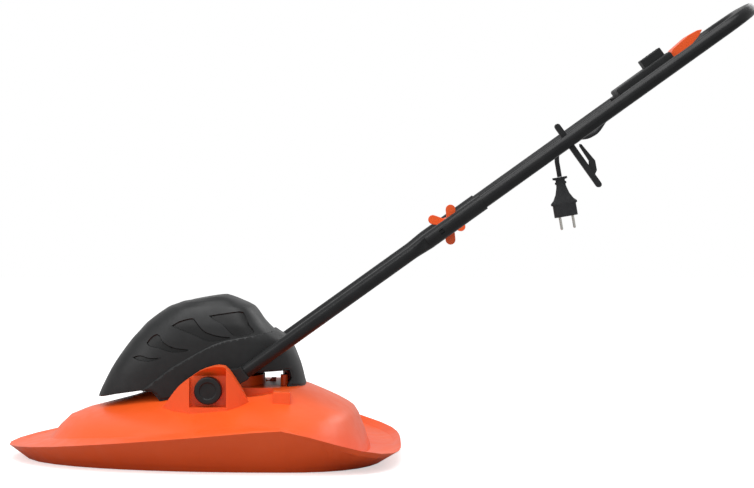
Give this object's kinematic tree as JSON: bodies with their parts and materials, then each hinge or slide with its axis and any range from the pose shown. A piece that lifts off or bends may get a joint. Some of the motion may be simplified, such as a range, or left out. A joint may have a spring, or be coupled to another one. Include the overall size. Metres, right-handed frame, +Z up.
{
  "type": "hover mower",
  "caption": "Electric hover mower: orange plastic hood, black motor cover, tubular handle held up at a slant, clamp knobs, cord hook, switch box and a short hanging mains lead.",
  "frame": {"origin": "centre of the footprint of the whole mower with its handle as shown, on the ground", "axes": "+X backwards from the hood's nose to the grip bar, +Y across to the right of someone who stands behind, +Z up"},
  "size_m": [1.116, 0.452, 0.6779],
  "materials": {
    "orange": "satin moulded plastic",
    "black": "lightly textured moulded plastic",
    "fan": "plain moulded plastic",
    "tube": "dark powder coat",
    "steel": "plain steel",
    "zinc": "zinc plated",
    "rubber": "matt black"
  },
  "bodies": {
    "hood": {"hood": "orange", "motor_cover": "black", "motor_mount": "black", "motor_can": "steel", "motor_end_bell": "black", "mount_screw_1": "zinc", "mount_screw_2": "zinc", "mount_screw_3": "zinc", "mount_screw_4": "zinc", "cover_screw_front_left": "zinc", "cover_screw_front_right": "zinc", "cover_screw_rear_left": "zinc", "cover_screw_rear_right": "zinc", "pivot_pin_left": "black", "pivot_pin_right": "black"},
    "rotor": {"drive_shaft": "steel", "impeller": "fan", "blade_spacer": "black", "blade": "steel", "blade_washer": "zinc", "blade_bolt": "zinc"},
    "handle": {"handle_foot_left": "black", "handle_foot_right": "black", "lower_arm_left": "tube", "lower_arm_right": "tube", "upper_handle": "tube", "clamp_nut_left": "zinc", "clamp_nut_right": "zinc", "cord_hook": "black", "switch_box_top": "black", "switch_box_base": "black", "switch_module": "fan", "strain_relief": "rubber", "mains_cord": "rubber", "plug_body": "rubber", "plug_pin_a": "zinc", "plug_pin_b": "zinc"},
    "knob_left": {"wing_knob_left": "orange"},
    "knob_right": {"wing_knob_right": "orange"},
    "lever": {"switch_lever": "orange"},
    "button": {"lock_button": "black"}
  },
  "joints": [
    {"name": "handle_pivot", "type": "hinge", "parent": "hood", "child": "handle", "pos_m": [-0.24802, 0, 0.111], "axis": [0, -1, 0], "range_deg": [-24.5, 80]},
    {"name": "rotor_spin", "type": "hinge", "parent": "hood", "child": "rotor", "pos_m": [-0.24302, 0, 0.05], "axis": [0, 0, 1], "continuous": true},
    {"name": "knob_left_spin", "type": "hinge", "parent": "handle", "child": "knob_left", "pos_m": [0.10407, -0.08, 0.35016], "axis": [0, 1, 0], "continuous": true},
    {"name": "knob_right_spin", "type": "hinge", "parent": "handle", "child": "knob_right", "pos_m": [0.10407, 0.08, 0.35016], "axis": [0, -1, 0], "continuous": true},
    {"name": "lever_press", "type": "hinge", "parent": "handle", "child": "lever", "pos_m": [0.43604, 0, 0.59336], "axis": [0, 1, 0], "range_deg": [0, 11], "stiffness_Nm_per_rad": 1, "springref_deg": -11.46},
    {"name": "button_press", "type": "slide", "parent": "handle", "child": "button", "axis": [0.5821, 0, -0.8131], "range_m": [0, 0.004], "stiffness_N_per_m": 300, "springref_m": -0.004}
  ]
}
